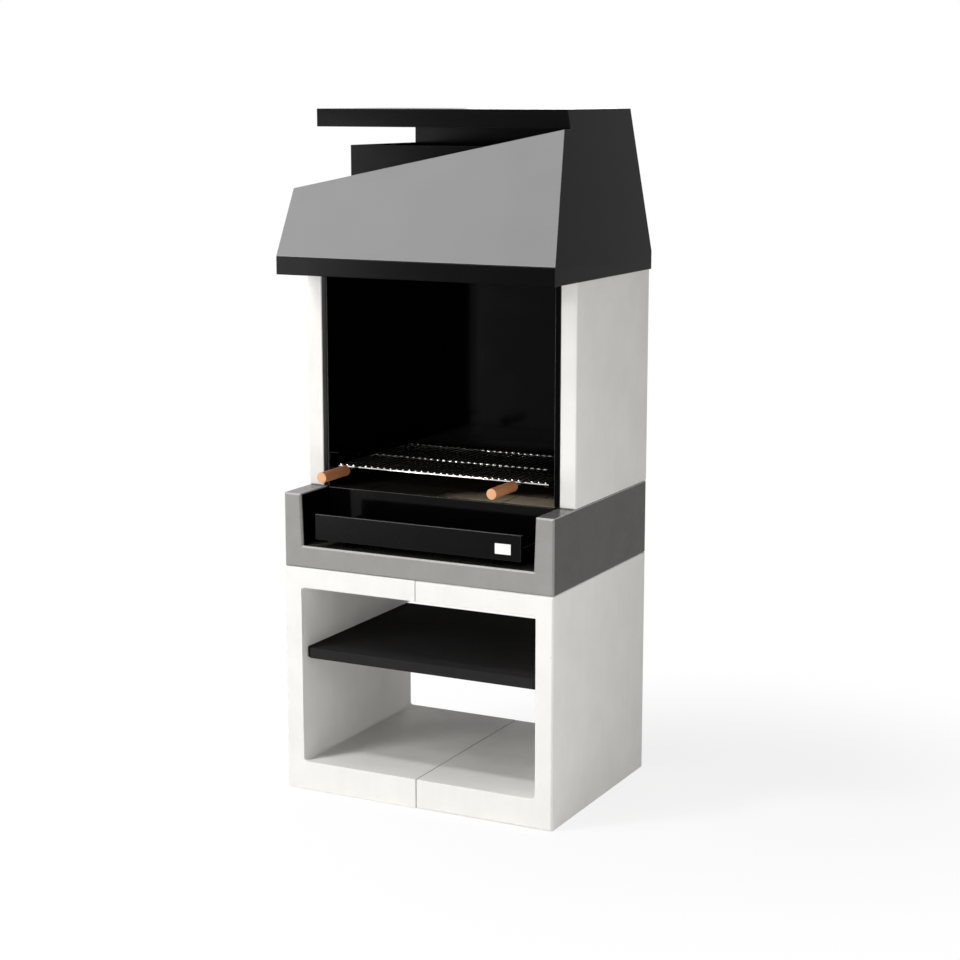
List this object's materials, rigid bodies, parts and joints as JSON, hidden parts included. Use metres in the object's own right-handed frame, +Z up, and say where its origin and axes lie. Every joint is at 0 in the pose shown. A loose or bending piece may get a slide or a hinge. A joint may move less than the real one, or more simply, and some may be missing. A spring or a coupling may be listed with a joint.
{
  "type": "masonry barbecue grill",
  "caption": "Concrete barbecue on a shelved base, with a brick hearth in a steel firebox, a wire grate, an ash drawer and a slanted sheet-steel hood.",
  "frame": {"origin": "on the floor under the middle of the bounding box of the whole grill, handles included", "axes": "+Z up, -Y out of the open front towards the cook, +X to the cook's right"},
  "size_m": [0.909, 0.7404, 2.0681],
  "materials": {
    "white_concrete": "smooth cast white concrete",
    "grey_concrete": "smooth cast grey concrete",
    "black_slab": "satin black sealed concrete slab",
    "black_enamel": "glossy black enamel on sheet steel",
    "black_paint": "satin black heat-proof paint on sheet steel",
    "grey_paint": "satin mid-grey heat-proof paint on sheet steel",
    "chromed_wire": "bright chromed wire",
    "galvanised_steel": "galvanised sheet steel",
    "fire_brick": "dry fireclay",
    "beech": "turned and oiled beech",
    "white_plate": "gloss white enamel"
  },
  "bodies": {
    "stand": {"base_left_block": "white_concrete", "base_right_block": "white_concrete", "storage_shelf": "black_slab", "bench": "grey_concrete", "trough_lining_left": "black_enamel", "trough_lining_right": "black_enamel", "left_side_wall": "white_concrete", "right_side_wall": "white_concrete", "rear_wall": "white_concrete", "liner_left_side": "black_enamel", "liner_right_side": "black_enamel", "liner_back": "black_enamel", "hearth_pan": "black_enamel", "hearth_front_plate": "black_enamel", "fire_brick_1_1": "fire_brick", "fire_brick_1_2": "fire_brick", "fire_brick_1_3": "fire_brick", "fire_brick_1_4": "fire_brick", "fire_brick_2_1": "fire_brick", "fire_brick_2_2": "fire_brick", "fire_brick_2_3": "fire_brick", "fire_brick_2_4": "fire_brick", "fire_brick_3_1": "fire_brick", "fire_brick_3_2": "fire_brick", "fire_brick_3_3": "fire_brick", "fire_brick_3_4": "fire_brick", "fire_brick_4_1": "fire_brick", "fire_brick_4_2": "fire_brick", "fire_brick_4_3": "fire_brick", "fire_brick_4_4": "fire_brick", "grate_angle_lower_left": "black_enamel", "grate_angle_lower_right": "black_enamel", "grate_angle_upper_left": "black_enamel", "grate_angle_upper_right": "black_enamel", "drawer_runner_left": "black_enamel", "drawer_runner_right": "black_enamel", "hood_front_band": "black_paint", "hood_front_plate": "grey_paint", "hood_left_panel": "black_paint", "hood_right_panel": "black_paint", "hood_back_panel": "black_paint", "hood_shoulder_plate": "black_paint", "flue_box": "black_paint", "hood_cap": "black_paint", "hood_ledge_left": "galvanised_steel", "hood_ledge_right": "galvanised_steel"},
    "grate": {"grate": "chromed_wire", "grate_handle_left": "beech", "grate_handle_right": "beech"},
    "ash_drawer": {"ash_drawer_front": "black_enamel", "ash_drawer_tray": "black_enamel", "badge_plate": "white_plate"}
  },
  "joints": [
    {"name": "grate_slide", "type": "slide", "parent": "stand", "child": "grate", "axis": [0, -1, 0], "range_m": [0, 0.22]},
    {"name": "ash_drawer_slide", "type": "slide", "parent": "stand", "child": "ash_drawer", "axis": [0, -1, 0], "range_m": [0, 0.22]}
  ]
}
